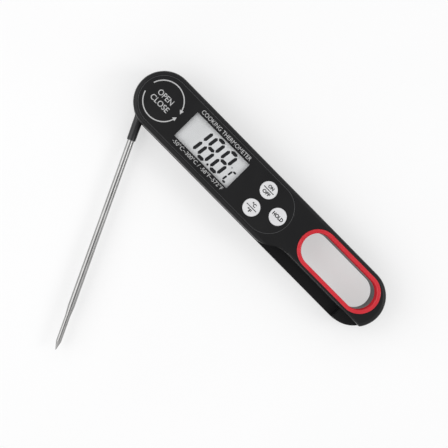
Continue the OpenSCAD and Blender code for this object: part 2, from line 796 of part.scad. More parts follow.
// Two leads from the bead, along the tube, through the hub to the hinge axis and up its neck
module sensor_leads() {
    turn_x = -2.4;
    color([0.75, 0.1, 0.1]) for (side = [-1, 1]) {
        level = side * lead_gap;
        at_probe() translate([0, 0, level]) rod_x(lead_r, turn_x, probe_reach - point_l - 6);
        rotate([0, 0, -open_angle]) translate([0, 0, probe_z + level]) {
            translate([turn_x, 0, 0]) rotate([90, 0, 0]) cylinder(r = lead_r, h = probe_offset);
            rod_x(lead_r, turn_x, -side * 0.5);
            translate([-side * 0.5, 0, 0]) rod(lead_r, 0, neck_top + 0.2 - probe_z - level);
        }
    }
}

module hinge_o_rings() {
    color([0.1, 0.1, 0.1]) for (z = ring_z) translate([0, 0, z]) rotate_extrude()
        translate([ring_groove + ring_wire + 0.02, 0]) circle(ring_wire);
}

module hinge_washer() {
    color([0.75, 0.76, 0.78]) rotate_extrude()
        translate([neck_r + 0.1, collar_top + 0.02]) square([collar_r - neck_r - 0.4, washer_t]);
}

// Retaining clip, open on one side, snapped into the groove of the neck
module hinge_clip() {
    color([0.7, 0.71, 0.73]) translate([0, 0, clip_seat_z + 0.02]) linear_extrude(clip_t - 0.02)
        difference() {
            circle(neck_r + 1.5);
            circle(neck_r - 0.55);
            translate([0, -2]) square([far, 4]);
        }
}

front_shell();
rear_shell();
hinge_cover();
case_gasket();
face_label();
window_lens();
ring_trim();
lcd_panel();
lcd_backlight();
lcd_frame();
zebra_strips();
circuit_board();
board_chip();
board_parts();
button_switches();
keypad_mat();
dome(buttons[0]);  // power_dome
dome(buttons[1]);  // unit_dome
dome(buttons[2]);  // hold_dome
battery_cell();
battery_spring();
battery_plate();
battery_door();
door_gasket();
door_lock();
rear_magnet();
case_screws();
hinge_screws();
board_screws();
sensor_tail();
probe_hub();
probe_sleeve();
probe_tube();
probe_point();
thermistor();
sensor_leads();
hinge_o_rings();
hinge_washer();
hinge_clip();
button(buttons[0]);  // power_button
button(buttons[1]);  // unit_button
button(buttons[2]);  // hold_button
stem(buttons[0]);  // power_stem
stem(buttons[1]);  // unit_stem
stem(buttons[2]);  // hold_stem
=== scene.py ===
import json
import math

import bmesh
import bpy
from mathutils import Matrix, Vector


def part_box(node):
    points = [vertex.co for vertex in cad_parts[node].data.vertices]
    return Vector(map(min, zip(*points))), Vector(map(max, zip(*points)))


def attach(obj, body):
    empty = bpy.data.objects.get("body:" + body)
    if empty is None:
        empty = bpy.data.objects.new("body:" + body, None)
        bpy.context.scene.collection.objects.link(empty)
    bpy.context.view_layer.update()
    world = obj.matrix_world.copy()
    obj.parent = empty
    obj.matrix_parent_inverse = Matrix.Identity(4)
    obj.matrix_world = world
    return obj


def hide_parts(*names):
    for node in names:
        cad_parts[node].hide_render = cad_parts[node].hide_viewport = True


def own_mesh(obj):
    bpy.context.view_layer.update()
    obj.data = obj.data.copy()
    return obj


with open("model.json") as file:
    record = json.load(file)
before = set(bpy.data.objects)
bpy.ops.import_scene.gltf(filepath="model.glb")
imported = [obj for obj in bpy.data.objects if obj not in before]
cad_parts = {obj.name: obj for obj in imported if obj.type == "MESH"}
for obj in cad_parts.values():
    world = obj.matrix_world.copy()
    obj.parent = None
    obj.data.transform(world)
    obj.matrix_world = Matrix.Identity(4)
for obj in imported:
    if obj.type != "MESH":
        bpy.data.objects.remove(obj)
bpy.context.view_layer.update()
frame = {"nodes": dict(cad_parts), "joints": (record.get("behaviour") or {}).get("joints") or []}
MM = 0.001


# ---- Table, lamps and camera ----
# The thermometer lies on its back on a pale table of opal acrylic, lit softly from below. A broad soft lamp
# stands beyond the head and a weaker one beyond the tail. The air right above is dim, so that the black face
# stays deep, and a wide bright band round it lights the inside of the hanging hole.

def add(tree, kind, inputs=(), **settings):
    """Adds a shader node. Its inputs take plain values or another node's outputs."""
    made = tree.nodes.new("ShaderNode" + kind)
    for name, value in settings.items():
        setattr(made, name, value)
    for name, value in dict(inputs).items():
        if isinstance(value, bpy.types.NodeSocket):
            tree.links.new(value, made.inputs[name])
        else:
            made.inputs[name].default_value = value
    return made


def new_material(name, **sockets):
    """A material of one Principled shader, with the place on the object that its patterns read."""
    material = bpy.data.materials.new(name)
    material.use_nodes = True
    tree = material.node_tree
    shader = tree.nodes["Principled BSDF"]
    for label, value in sockets.items():
        shader.inputs[label.replace("_", " ")].default_value = value
    return material, tree, shader, add(tree, "TexCoord").outputs["Object"]


def ramp(tree, fac, stops, interpolation="LINEAR"):
    """A colour ramp through (place, colour) stops."""
    made = add(tree, "ValToRGB", {"Fac": fac})
    made.color_ramp.interpolation = interpolation
    while len(made.color_ramp.elements) < len(stops):
        made.color_ramp.elements.new(0.5)
    for element, (place, colour) in zip(made.color_ramp.elements, stops):
        element.position = place
        element.color = (*colour, 1)
    return made.outputs["Color"]


def spread(tree, value, low, high):
    """Takes a 0 to 1 pattern to the range from low to high."""
    return add(tree, "MapRange", {"Value": value, "To Min": low, "To Max": high}).outputs["Result"]


def noise(tree, place, per_metre, detail=3.0, roughness=0.5):
    """Cloudy noise with so many clouds to the metre."""
    return add(tree, "TexNoise", {"Vector": place, "Scale": per_metre, "Detail": detail,
                                  "Roughness": roughness}).outputs["Fac"]


def mesh_object(name, shape):
    """Turns a finished bmesh into an object that sits at the origin."""
    mesh = bpy.data.meshes.new(name)
    shape.to_mesh(mesh)
    shape.free()
    made = bpy.data.objects.new(name, mesh)
    bpy.context.scene.collection.objects.link(made)
    return made


TABLE_HALF = 3.0
table_shape = bmesh.new()
bmesh.ops.create_grid(table_shape, x_segments=1, y_segments=1, size=TABLE_HALF,
                      matrix=Matrix.Translation((0, 0, -0.05 * MM)))
table = mesh_object("table", table_shape)
opal, tree, shader, place = new_material("opal_acrylic", Roughness=0.7, Emission_Strength=0.5)
tree.links.new(ramp(tree, noise(tree, place, 9, 4), [(0.3, (0.43, 0.43, 0.43)), (0.7, (0.44, 0.44, 0.44))]),
               shader.inputs["Base Color"])
tree.links.new(ramp(tree, noise(tree, place, 5, 2), [(0.3, (0.98, 0.98, 0.98)), (0.7, (1, 1, 1))]),
               shader.inputs["Emission Color"])
# It is clear from below, so that the back of the thermometer can be seen through it
backfacing = add(tree, "NewGeometry").outputs["Backfacing"]
see_through = add(tree, "BsdfTransparent").outputs[0]
from_below = add(tree, "MixShader", {0: backfacing, 1: shader.outputs["BSDF"], 2: see_through})
tree.links.new(from_below.outputs[0], tree.nodes["Material Output"].inputs["Surface"])
table.data.materials.append(opal)

world = bpy.data.worlds.new("studio")
world.use_nodes = True
bpy.context.scene.world = world
tree = world.node_tree
height = add(tree, "SeparateXYZ", {"Vector": add(tree, "TexCoord").outputs["Generated"]}).outputs["Z"]
air = ramp(tree, height, [(0.0, (0.3, 0.3, 0.31)), (0.3, (0.45, 0.45, 0.46)), (0.5, (1.0, 1.0, 1.0)),
                          (0.83, (1.15, 1.15, 1.15)), (0.94, (0.3, 0.3, 0.31)), (1.0, (0.2, 0.2, 0.205))])
tree.links.new(air, tree.nodes["Background"].inputs["Color"])


def soft_lamp(name, towards, distance, size, power):
    """A square lamp that looks at the thermometer from the given direction."""
    lamp = bpy.data.objects.new(name, bpy.data.lights.new(name, "AREA"))
    lamp.data.shape = "SQUARE"
    lamp.data.size = size
    lamp.data.energy = power
    back = Vector(towards).normalized()
    lamp.location = Vector((0.06, -0.03, 0)) + back * distance
    lamp.rotation_euler = back.to_track_quat("Z", "Y").to_euler()
    bpy.context.scene.collection.objects.link(lamp)


soft_lamp("head_lamp", (-0.72, -0.55, 0.85), 1.2, 1.1, 5.0)
soft_lamp("tail_lamp", (0.75, 0.6, 0.75), 1.3, 0.4, 2.5)

# The camera looks almost straight down at the face, from far off, with the handle running down to the right
camera = bpy.data.objects.new("camera", bpy.data.cameras.new("camera"))
camera.data.lens = 105.02
camera.location = (30.29 * MM, -40.96 * MM, 662.73 * MM)
ahead = (Vector((63.96 * MM, -21.13 * MM, 9.5 * MM)) - camera.location).normalized()
picture_turn = math.radians(135.31)
hint = Vector((math.cos(picture_turn), math.sin(picture_turn), 0))
upward = (hint - ahead * hint.dot(ahead)).normalized()
camera.rotation_euler = Matrix((ahead.cross(upward), upward, -ahead)).transposed().to_euler()
bpy.context.scene.collection.objects.link(camera)
bpy.context.scene.camera = camera
bpy.context.scene.view_settings.view_transform = "Standard"


# ---- Case: front shell, rear shell, hinge cover and battery door ----
# Four mouldings of black ABS with a fine spark grain. The shells meet above the probe's channel, in a seam
# that shows as a fine groove, and are held by four screws from behind. The door has a ribbed thumb grip.

def effect(name, inputs, outputs):
    """A shader node group with what it is given and what it gives, shared by several materials."""
    group = bpy.data.node_groups.new(name, "ShaderNodeTree")
    for label, (kind, value) in inputs.items():
        socket = group.interface.new_socket(label, in_out="INPUT", socket_type="NodeSocket" + kind)
        if value is not None:
            socket.default_value = value
    for label, kind in outputs.items():
        group.interface.new_socket(label, in_out="OUTPUT", socket_type="NodeSocket" + kind)
    given = group.nodes.new("NodeGroupInput").outputs
    gives = group.nodes.new("NodeGroupOutput").inputs
    return group, given, gives


def use(tree, group, inputs):
    """Places a shared effect in a material with its own values, and returns its outputs."""
    made = tree.nodes.new("ShaderNodeGroup")
    made.node_tree = group
    for name, value in inputs.items():
        if isinstance(value, bpy.types.NodeSocket):
            tree.links.new(value, made.inputs[name])
        else:
            made.inputs[name].default_value = value
    return made.outputs


# Fine moulded or cast grain: Pitch is the size of a grain and Depth its height, both in millimetres
grain, given, gives = effect(
    "grain", {"Place": ("Vector", None), "Pitch": ("Float", 0.3), "Depth": ("Float", 0.01)},
    {"Normal": "Vector"})
per_metre = add(grain, "Math", {0: 1000.0, 1: given["Pitch"]}, operation="DIVIDE").outputs[0]
metres = add(grain, "Math", {0: given["Depth"], 1: MM}, operation="MULTIPLY").outputs[0]
bumps = noise(grain, given["Place"], per_metre, 2)
raised = add(grain, "Bump", {"Height": bumps, "Distance": metres, "Strength": 1.0})
grain.links.new(raised.outputs["Normal"], gives["Normal"])

# Where hands have polished or greased a surface: soft patches with fine detail inside them
handling, given, gives = effect(
    "handling", {"Place": ("Vector", None), "Patch": ("Float", 14.0)}, {"Mask": "Float"})
per_metre = add(handling, "Math", {0: 1000.0, 1: given["Patch"]}, operation="DIVIDE").outputs[0]
patches = noise(handling, given["Place"], per_metre, 5, 0.6)
mask = add(handling, "MapRange", {"Value": patches, "From Min": 0.35, "From Max": 0.65})
handling.links.new(mask.outputs["Result"], gives["Mask"])

# Sparse specks of dust: a few small cells out of many, chosen by each cell's own random colour
dust, given, gives = effect(
    "dust", {"Place": ("Vector", None), "Pitch": ("Float", 1.2), "Share": ("Float", 0.03)},
    {"Mask": "Float"})
per_metre = add(dust, "Math", {0: 1000.0, 1: given["Pitch"]}, operation="DIVIDE").outputs[0]
cells = add(dust, "TexVoronoi", {"Vector": given["Place"], "Scale": per_metre})
chosen = add(dust, "Math", {0: cells.outputs["Color"], 1: given["Share"]}, operation="LESS_THAN").outputs[0]
near = add(dust, "MapRange", {"Value": cells.outputs["Distance"], "From Min": 0.1, "From Max": 0.06})
speck = add(dust, "Math", {0: chosen, 1: near.outputs["Result"]}, operation="MULTIPLY").outputs[0]
dust.links.new(speck, gives["Mask"])


def moulded(name, dark, light, rough, pitch=0.35, depth=0.012, patch=14.0, dusty=0.0, **sockets):
    """Moulded plastic or rubber: two close shades, grain, handled patches and a little dust."""
    material, tree, shader, place = new_material(name, **sockets)
    worn = use(tree, handling, {"Place": place, "Patch": patch})["Mask"]
    colour = ramp(tree, worn, [(0.0, dark), (1.0, light)])
    if dusty:
        specks = use(tree, dust, {"Place": place, "Share": dusty})["Mask"]
        grey = add(tree, "Mix", {0: specks, 6: colour, 7: (0.16, 0.16, 0.16, 1)}, data_type="RGBA")
        colour = grey.outputs[2]
    tree.links.new(colour, shader.inputs["Base Color"])
    tree.links.new(spread(tree, worn, *rough), shader.inputs["Roughness"])
    relief = use(tree, grain, {"Place": place, "Pitch": pitch, "Depth": depth})["Normal"]
    tree.links.new(relief, shader.inputs["Normal"])
    return material


def dress(material, *names):
    """Gives CAD nodes a finished material."""
    for name in names:
        for holder in frame["nodes"][name].material_slots:
            holder.material = material


def smooth(piece, degrees=35):
    """Shades a piece smooth, with its edges sharper than the given angle left crisp."""
    for face in piece.data.polygons:
        face.use_smooth = True
    piece.data.set_sharp_from_angle(angle=math.radians(degrees))


def fit(piece, material, body, replaced=()):
    """Gives a finished piece its material and its body, and hides the CAD nodes that it replaces."""
    piece.data.materials.append(material)
    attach(piece, body)
    if replaced:
        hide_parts(*replaced)


case_plastic = moulded("case_plastic", (0.0052, 0.0052, 0.0057), (0.0074, 0.0074, 0.008), (0.46, 0.36),
                       dusty=0.012, Specular_IOR_Level=0.26)
dress(case_plastic, "front_shell", "rear_shell", "hinge_cover", "battery_door")

# ---- Face label ----
# A printed polycarbonate film, glued into a shallow seat in the front shell. It has a fine velvet texture,
# and its printing is on top: the turning arrows, two words in them and a line above and below the display.
film_low, film_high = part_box("face_label")
FILM_TOP = film_high.z
INK = 0.015 * MM

label_film, tree, shader, place = new_material("label_film", Specular_IOR_Level=0.4)
smears = use(tree, handling, {"Place": place, "Patch": 20.0})["Mask"]
specks = use(tree, dust, {"Place": place, "Pitch": 1.0, "Share": 0.015})["Mask"]
black = ramp(tree, smears, [(0.0, (0.0062, 0.0062, 0.0066)), (1.0, (0.008, 0.008, 0.0084))])
film_colour = add(tree, "Mix", {0: specks, 6: black, 7: (0.06, 0.06, 0.06, 1)}, data_type="RGBA").outputs[2]
tree.links.new(film_colour, shader.inputs["Base Color"])
tree.links.new(spread(tree, smears, 0.36, 0.27), shader.inputs["Roughness"])
velvet = use(tree, grain, {"Place": place, "Pitch": 0.12, "Depth": 0.002})["Normal"]
tree.links.new(velvet, shader.inputs["Normal"])
dress(label_film, "face_label")

# The film's cut edge is a fine round bead, which catches the light; its paler grey adds painted highlight to
# it
film_radius = (film_high.y - film_low.y) / 2
BEAD_THICK = 0.26 * MM
BEAD_INSET = 0.02 * MM
bead_shape = bmesh.new()
upright = Matrix.Rotation(math.radians(90), 4, "X")
bmesh.ops.create_circle(bead_shape, segments=8, radius=BEAD_THICK / 2,
                        matrix=Matrix.Translation((film_radius - BEAD_INSET, 0, FILM_TOP)) @ upright)
bmesh.ops.spin(bead_shape, geom=[*bead_shape.verts, *bead_shape.edges], cent=(0, 0, 0), axis=(0, 0, 1),
               angle=math.tau, steps=96, use_merge=True)
bmesh.ops.remove_doubles(bead_shape, verts=bead_shape.verts, dist=1e-7)
bmesh.ops.bisect_plane(bead_shape, geom=[*bead_shape.verts, *bead_shape.edges, *bead_shape.faces], dist=1e-7,
                       plane_co=(0, 0, 0), plane_no=(1, 0, 0))
tail_half = [corner for corner in bead_shape.verts if corner.co.x > 1e-6]
bmesh.ops.translate(bead_shape, verts=tail_half, vec=(film_high.x - film_radius, 0, 0))
bmesh.ops.recalc_face_normals(bead_shape, faces=bead_shape.faces[:])
label_bead = mesh_object("label_bead", bead_shape)
smooth(label_bead, 60)
# A grey paler than the film: painted highlight along the label's edge
film_edge_painted_highlight = moulded("film_edge_painted_highlight", (0.05, 0.05, 0.052), (0.07, 0.07, 0.072), (0.3, 0.2), 0.2, 0.002, 6.0)
fit(label_bead, film_edge_painted_highlight, "housing")

print_ink = moulded("print_ink", (0.44, 0.44, 0.44), (0.5, 0.5, 0.5), (0.45, 0.38), 0.08, 0.002, 3.0)


def thicken(shape, height):
    """Raises a flat outline into a thin closed layer."""
    raised = bmesh.ops.extrude_face_region(shape, geom=shape.faces[:], use_keep_orig=True)["geom"]
    tops = [part for part in raised if isinstance(part, bmesh.types.BMVert)]
    bmesh.ops.translate(shape, verts=tops, vec=(0, 0, height))
    bmesh.ops.recalc_face_normals(shape, faces=shape.faces[:])


def words_mesh(text, bold):
    """Flat letters of size 1 as a bmesh, with their strokes thickened by bold."""
    curve = bpy.data.curves.new("words", "FONT")
    curve.body = text
    curve.offset = bold
    curve.fill_mode = "FRONT"
    curve.resolution_u = 6
    holder = bpy.data.objects.new("words", curve)
    flat = bpy.data.meshes.new_from_object(holder)
    shape = bmesh.new()
    shape.from_mesh(flat)
    bmesh.ops.remove_doubles(shape, verts=shape.verts, dist=1e-5)
    bpy.data.objects.remove(holder)
    return shape


def extent(shape, axis):
    """Lowest and highest coordinate of a bmesh along one axis."""
    values = [vertex.co[axis] for vertex in shape.verts]
    return min(values), max(values)


# Height of a capital in letters of size 1
CAP = extent(words_mesh("H", 0), 1)[1]


def words(name, text, centre, cap, width, bold=0.0):
    """Printed words: centred, with capitals of the given height, and stretched to the given width."""
    shape = words_mesh(text, bold)
    left, right = extent(shape, 0)
    stretch = Matrix.Diagonal((width / (right - left), cap / CAP, 1, 1))
    middle = Matrix.Translation((-(left + right) / 2, -CAP / 2, 0))
    bmesh.ops.transform(shape, matrix=Matrix.Translation(centre) @ stretch @ middle, verts=shape.verts)
    thicken(shape, INK)
    return mesh_object(name, shape)


def finish_print(piece):
    """Gives a print its ink and fixes it to the housing."""
    fit(piece, print_ink, "housing")


window_low, window_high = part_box("window_lens")
window_x = (window_low.x + window_high.x) / 2
WORD_X = -1.0 * MM
WORD_Y = 2.1 * MM
WORD_CAP = 2.85 * MM
finish_print(words("print_open", "OPEN", (WORD_X, WORD_Y, FILM_TOP), WORD_CAP, 9.3 * MM, 0.012))
finish_print(words("print_close", "CLOSE", (WORD_X, -WORD_Y, FILM_TOP), WORD_CAP, 11.3 * MM, 0.012))
title_place = (window_x, window_high.y + 2.1 * MM, FILM_TOP)
finish_print(words("print_title", "COOKING THERMOMETER", title_place, 2.1 * MM, 33.8 * MM, 0.006))
range_place = (window_x, window_low.y - 1.8 * MM, FILM_TOP)
finish_print(words("print_range", "-50°C~300°C / -58°F~572°F", range_place, 1.9 * MM, 34.4 * MM, 0.006))


def turning_arrow(name, centre, radius, start, sweep):
    """An arc of constant width with an arrow head at its far end."""
    width = 0.55 * MM
    head_long = 2.0 * MM
    head_wide = 2.1 * MM
    shape = bmesh.new()
    line = shape.edges.new([shape.verts.new((radius + side * width / 2, 0, 0)) for side in (-1, 1)])
    bmesh.ops.rotate(shape, verts=shape.verts, cent=(0, 0, 0), matrix=Matrix.Rotation(start, 3, "Z"))
    bmesh.ops.spin(shape, geom=[line, *line.verts], cent=(0, 0, 0), axis=(0, 0, 1), angle=sweep, steps=48)
    corners = [(radius - head_wide / 2, 0, 0), (radius + head_wide / 2, 0, 0),
               (radius, math.copysign(head_long, sweep), 0)]
    head = [shape.verts.new(corner) for corner in corners]
    shape.faces.new(head)
    bmesh.ops.rotate(shape, verts=head, cent=(0, 0, 0), matrix=Matrix.Rotation(start + sweep, 3, "Z"))
    bmesh.ops.recalc_face_normals(shape, faces=shape.faces[:])
    bmesh.ops.translate(shape, verts=shape.verts, vec=centre)
    thicken(shape, INK)
    return mesh_object(name, shape)


arrow_centre = (-0.5 * MM, 0, FILM_TOP)
ARROW_RADIUS = 10.2 * MM
for name, start, sweep in (("print_arrow_open", 163, -146), ("print_arrow_close", -164, 147)):
    finish_print(turning_arrow(name, arrow_centre, ARROW_RADIUS, math.radians(start), math.radians(sweep)))

# ---- Display ----
# A reflective liquid-crystal panel in a white frame over a light guide, joined to the board by two striped
# rubber strips. Its digits are slanted seven-segment ones. A clear window in the front shell covers it.
GLASS_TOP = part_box("lcd_panel")[1].z
clear_lens = bpy.data.materials.new("clear_lens")
clear_lens.use_nodes = True
tree = clear_lens.node_tree
tree.nodes.remove(tree.nodes["Principled BSDF"])
place = add(tree, "TexCoord").outputs["Object"]
smears = use(tree, handling, {"Place": place, "Patch": 9.0})["Mask"]
gloss = add(tree, "BsdfGlossy", {"Roughness": spread(tree, smears, 0.03, 0.1)}).outputs[0]
clear = add(tree, "BsdfTransparent", {"Color": (0.97, 0.975, 0.98, 1)}).outputs[0]
# It mirrors only where the light comes from outside
backfacing = add(tree, "NewGeometry").outputs["Backfacing"]
outside = add(tree, "Math", {0: 1.0, 1: backfacing}, operation="SUBTRACT").outputs[0]
slanting = add(tree, "Fresnel", {"IOR": 1.49}).outputs[0]
mirror = add(tree, "Math", {0: slanting, 1: outside}, operation="MULTIPLY").outputs[0]
pane = add(tree, "MixShader", {0: mirror, 1: clear, 2: gloss}).outputs[0]
tree.links.new(pane, tree.nodes["Material Output"].inputs["Surface"])
dress(clear_lens, "window_lens")

lcd_glass, tree, shader, place = new_material("lcd_glass", Roughness=0.3, Specular_IOR_Level=0.3)
cloudy = noise(tree, place, 60, 2)
tree.links.new(ramp(tree, cloudy, [(0.3, (0.7, 0.695, 0.685)), (0.7, (0.76, 0.755, 0.745))]),
               shader.inputs["Base Color"])
silk = use(tree, grain, {"Place": place, "Pitch": 0.1, "Depth": 0.001})["Normal"]
tree.links.new(silk, shader.inputs["Normal"])
dress(lcd_glass, "lcd_panel")

lcd_segment = moulded("lcd_segment", (0.002, 0.002, 0.0025), (0.005, 0.005, 0.0055), (0.4, 0.3),
                      0.1, 0.001, 2.0)
lcd_faint = moulded("lcd_faint", (0.36, 0.36, 0.36), (0.42, 0.42, 0.42), (0.4, 0.3), 0.1, 0.001, 2.0)
SLANT = math.tan(math.radians(7.5))


def bar(shape, start, end, thick):
    """One segment: a bar with pointed ends between two corners of the digit."""
    start, end = Vector(start), Vector(end)
    along = (end - start).normalized()
    across = Vector((-along.y, along.x)) * thick / 2
    gap = along * thick * 0.22
    tip = along * thick * 0.5
    start += gap
    end -= gap
    outline = [start, start + tip + across, end - tip + across,
               end, end - tip - across, start + tip - across]
    shape.faces.new([shape.verts.new((*point, 0)) for point in outline])


def digit(name, lit, centre, width, height, thick):
    """A seven-segment digit. The lit segments are named a to g, clockwise from the top, g in the middle."""
    x = (width - thick) / 2
    y = (height - thick) / 2
    ends = {"a": ((-x, y), (x, y)), "b": ((x, y), (x, 0)), "c": ((x, 0), (x, -y)), "d": ((-x, -y), (x, -y)),
            "e": ((-x, 0), (-x, -y)), "f": ((-x, y), (-x, 0)), "g": ((-x, 0), (x, 0))}
    shape = bmesh.new()
    for segment in lit:
        bar(shape, *ends[segment], thick)
    bmesh.ops.recalc_face_normals(shape, faces=shape.faces[:])
    lean = Matrix.Identity(4)
    lean[0][1] = SLANT
    bmesh.ops.transform(shape, matrix=Matrix.Translation((*centre, GLASS_TOP)) @ lean, verts=shape.verts)
    thicken(shape, INK)
    fit(mesh_object(name, shape), lcd_segment, "housing")


# Width, height and stroke of the three large digits
LARGE = (6.7 * MM, 15.0 * MM, 1.75 * MM)
digit("digit_tens", "bc", (24.75 * MM, 0), *LARGE)
digit("digit_ones", "abcdefg", (33.0 * MM, 0), *LARGE)
digit("digit_tenths", "abcdefg", (41.7 * MM, 0), *LARGE)
digit("digit_unit", "adef", (48.9 * MM, -3.3 * MM), 3.5 * MM, 7.8 * MM, 1.0 * MM)


def dot(name, centre, radius, material):
    """A small round spot on the display."""
    shape = bmesh.new()
    bmesh.ops.create_circle(shape, cap_ends=True, segments=24, radius=radius,
                            matrix=Matrix.Translation((*centre, GLASS_TOP)))
    thicken(shape, INK)
    fit(mesh_object(name, shape), material, "housing")


dot("digit_point", (36.9 * MM, -6.5 * MM), 0.6 * MM, lcd_segment)
dot("digit_degree", (46.6 * MM, 1.0 * MM), 0.5 * MM, lcd_faint)

diffuser = moulded("diffuser", (0.82, 0.82, 0.79), (0.88, 0.88, 0.86), (0.5, 0.6), 0.2, 0.01)
white_frame = moulded("white_frame", (0.78, 0.78, 0.75), (0.84, 0.84, 0.82), (0.45, 0.55), 0.3, 0.01)
dress(diffuser, "lcd_backlight")
dress(white_frame, "lcd_frame")

# The strips are thin conducting and insulating layers in turn, stacked along the handle
zebra, tree, shader, place = new_material("zebra_rubber", Roughness=0.7)
layers = add(tree, "TexWave", {"Vector": place, "Scale": 900.0, "Distortion": 0.0}).outputs["Fac"]
tree.links.new(ramp(tree, layers, [(0.4, (0.02, 0.02, 0.02)), (0.6, (0.5, 0.22, 0.28))]),
               shader.inputs["Base Color"])
dress(zebra, "zebra_strips")

# ---- Hanging hole ----
# A red moulded trim, pressed into the long hole at the tail. Its round rim on the face is polished, and the
# liner that covers the hole's upper walls is left dull from the mould.
ring_red, tree, shader, place = new_material("red_trim", Specular_IOR_Level=0.0, Coat_Roughness=0.14)
dull_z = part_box("front_shell")[1].z - 0.4 * MM
polished_z = dull_z + 0.5 * MM
level = add(tree, "SeparateXYZ", {"Vector": place}).outputs["Z"]
polished = add(tree, "MapRange", {"Value": level, "From Min": dull_z, "From Max": polished_z,
                                  "To Min": 0.0, "To Max": 0.6})
tree.links.new(polished.outputs["Result"], shader.inputs["Coat Weight"])
smears = use(tree, handling, {"Place": place, "Patch": 8.0})["Mask"]
tree.links.new(ramp(tree, smears, [(0.0, (0.56, 0.026, 0.037)), (1.0, (0.64, 0.036, 0.049))]),
               shader.inputs["Base Color"])
tree.links.new(spread(tree, smears, 0.3, 0.2), shader.inputs["Roughness"])
flow = use(tree, grain, {"Place": place, "Pitch": 2.5, "Depth": 0.01})["Normal"]
tree.links.new(flow, shader.inputs["Normal"])
dress(ring_red, "ring_trim")

# ---- Keys ----
# Three light grey keycaps that come up through the label, each with a slight crown and a soft edge. A dome
# of the silicone mat under each carries it, and a stem on its underside works the switch on the board.
button_plastic = moulded("button_plastic", (0.66, 0.66, 0.67), (0.72, 0.72, 0.73), (0.5, 0.38),
                         0.25, 0.01, 5.0)
legend_ink = moulded("legend_ink", (0.012, 0.012, 0.013), (0.02, 0.02, 0.021), (0.5, 0.4), 0.08, 0.002, 3.0)
CROWN = 0.14 * MM
PRINT_GAP = 0.004 * MM
LINE_THICK = 0.42 * MM
LINE_LONG = 6.6 * MM
LEGEND_Y = 1.75 * MM
LEGEND_CAP = 1.6 * MM


def crown_drop(radius, reach):
    """How far the crowned top lies under its own middle at a radius."""
    return CROWN * (radius / reach) ** 2


def keycap(node):
    """A keycap turned round its own axis: a flange below the face, a straight side and a crowned top."""
    flange_w = 0.75 * MM
    flange_t = 0.6 * MM
    edge = 0.35 * MM
    low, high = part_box(node)
    flange_r = (high.x - low.x) / 2
    reach = flange_r - flange_w
    shape = bmesh.new()
    crown = [(share * (reach - edge), high.z - crown_drop(share * (reach - edge), reach))
             for share in (0, 0.25, 0.5, 0.75, 1)]
    corner_z = crown[-1][1] - edge
    rim = [(reach - edge + edge * math.sin(turn), corner_z + edge * math.cos(turn))
           for turn in (math.radians(step) for step in (18, 36, 54, 72, 90))]
    foot = [(reach, low.z + flange_t), (flange_r, low.z + flange_t), (flange_r, low.z), (0, low.z)]
    points = [shape.verts.new((r, 0, z)) for r, z in crown + rim + foot]
    edges = [shape.edges.new(pair) for pair in zip(points, points[1:])]
    bmesh.ops.spin(shape, geom=[*points, *edges], cent=(0, 0, 0), axis=(0, 0, 1), angle=math.tau, steps=72,
                   use_merge=True)
    bmesh.ops.remove_doubles(shape, verts=shape.verts, dist=1e-7)
    bmesh.ops.recalc_face_normals(shape, faces=shape.faces[:])
    middle = (low + high) / 2
    bmesh.ops.translate(shape, verts=shape.verts, vec=(middle.x, middle.y, 0))
    cap = mesh_object(node + "_cap", shape)
    smooth(cap)
    fit(cap, button_plastic, node, [node])
    return Vector((middle.x, middle.y, high.z)), reach


def settle(piece, node):
    """Lowers print onto the crown of its key, and gives it its ink."""
    centre, reach = keys[node]
    for vertex in piece.data.vertices:
        vertex.co.z -= crown_drop((vertex.co.xy - centre.xy).length, reach)
    fit(piece, legend_ink, node)


def legend(name, text, node, y, cap, width):
    """Words printed on a keycap, at y from its middle."""
    centre = keys[node][0] + Vector((0, y, PRINT_GAP))
    settle(words(name, text, centre, cap, width, 0.042), node)


def legend_line(name, node, width):
    """The thin line between two legends."""
    centre = Matrix.Translation(keys[node][0] + Vector((0, 0, PRINT_GAP)))
    shape = bmesh.new()
    bmesh.ops.create_grid(shape, x_segments=12, y_segments=1, size=0.5,
                          matrix=centre @ Matrix.Diagonal((width, LINE_THICK, 1, 1)))
    thicken(shape, INK)
    settle(mesh_object(name, shape), node)


keys = {node: keycap(node) for node in ("power_button", "unit_button", "hold_button")}
legend("legend_on", "ON", "power_button", LEGEND_Y, LEGEND_CAP, 3.4 * MM)
legend("legend_off", "OFF", "power_button", -LEGEND_Y, LEGEND_CAP, 4.6 * MM)
legend_line("legend_power_line", "power_button", LINE_LONG)
legend("legend_celsius", "°C", "unit_button", LEGEND_Y, LEGEND_CAP, 2.7 * MM)
legend("legend_fahrenheit", "°F", "unit_button", -LEGEND_Y, LEGEND_CAP, 2.7 * MM)
legend_line("legend_unit_line", "unit_button", LINE_LONG)
legend("legend_hold", "HOLD", "hold_button", 0, 1.8 * MM, 6.6 * MM)

grey_silicone = moulded("grey_silicone", (0.17, 0.17, 0.18), (0.2, 0.2, 0.21), (0.6, 0.7), 0.2, 0.01, 6.0)
dress(grey_silicone, "keypad_mat", "power_dome", "unit_dome", "hold_dome", "case_gasket")

# Each dome is a smooth-shaded copy of its CAD node, fixed to the housing, with its foot held by the mat
for key in keys:
    dome_node = key.replace("button", "dome")
    dome_shape = bmesh.new()
    dome_shape.from_mesh(frame["nodes"][dome_node].data)
    bmesh.ops.remove_doubles(dome_shape, verts=dome_shape.verts, dist=1e-6)
    soft_dome = mesh_object(dome_node + "_soft", dome_shape)
    smooth(soft_dome)
    fit(soft_dome, grey_silicone, "housing", [dome_node])
    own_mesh(soft_dome)
stem_plastic = moulded("stem_plastic", (0.06, 0.06, 0.062), (0.08, 0.08, 0.082), (0.4, 0.5))
dress(stem_plastic, "power_stem", "unit_stem", "hold_stem")

